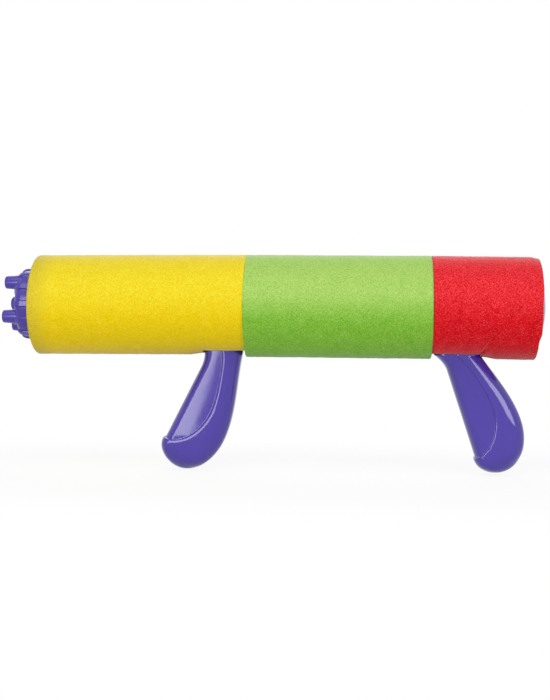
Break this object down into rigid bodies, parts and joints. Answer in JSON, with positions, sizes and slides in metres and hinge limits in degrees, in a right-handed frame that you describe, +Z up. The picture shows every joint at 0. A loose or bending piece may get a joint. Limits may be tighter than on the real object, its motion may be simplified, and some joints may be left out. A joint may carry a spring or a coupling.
{
  "type": "water squirter",
  "caption": "Hand-pumped water squirter: foam-sleeved barrel with a ribbed multi-spout screw nozzle, a sliding plunger, and a pistol grip on each.",
  "frame": {"origin": "on the pump axis, at the middle of the middle foam sleeve", "axes": "+X along the pump axis from the nozzle to the rear end, +Z up, the grips towards -Z"},
  "size_m": [0.3994, 0.0764, 0.1592],
  "materials": {
    "yellow_foam": "closed-cell foam with fine open pores on its skin",
    "green_foam": "closed-cell foam with fine open pores on its skin",
    "red_foam": "closed-cell foam with fine open pores on its skin",
    "violet_plastic": "glossy moulded plastic",
    "pale_plastic": "extruded and moulded plastic, satin",
    "grey_plastic": "moulded plastic, satin",
    "rubber": "matt",
    "steel": "zinc plated"
  },
  "bodies": {
    "barrel": {"barrel_tube": "pale_plastic", "barrel_bush": "pale_plastic", "bush_screws": "steel", "front_foam": "yellow_foam", "middle_foam": "green_foam", "front_grip_left": "violet_plastic", "front_grip_right": "violet_plastic", "front_grip_screws": "steel"},
    "gasket": {"nozzle_gasket": "rubber"},
    "cap": {"nozzle_cap": "violet_plastic", "nozzle_spouts": "violet_plastic"},
    "plunger": {"plunger_tube": "pale_plastic", "piston_head": "grey_plastic", "piston_pin": "steel", "piston_seal_front": "rubber", "piston_seal_rear": "rubber", "rear_carrier": "pale_plastic", "rear_grip_left": "violet_plastic", "rear_grip_right": "violet_plastic", "rear_grip_screws": "steel", "rear_foam": "red_foam", "rear_cap": "violet_plastic"}
  },
  "joints": [
    {"name": "plunger_slide", "type": "slide", "parent": "barrel", "child": "plunger", "axis": [1, 0, 0], "range_m": [0, 0.243]},
    {"name": "cap_travel", "type": "slide", "parent": "barrel", "child": "gasket", "axis": [-1, 0, 0], "range_m": [0, 0.0091]},
    {"name": "cap_turn", "type": "hinge", "parent": "gasket", "child": "cap", "pos_m": [-0.2266, 0, 0], "axis": [-1, 0, 0], "range_deg": [0, 810]}
  ],
  "couplings": [
    {"joint": "cap_travel", "follows": "cap_turn", "m_per_rad": 0.00063662}
  ]
}
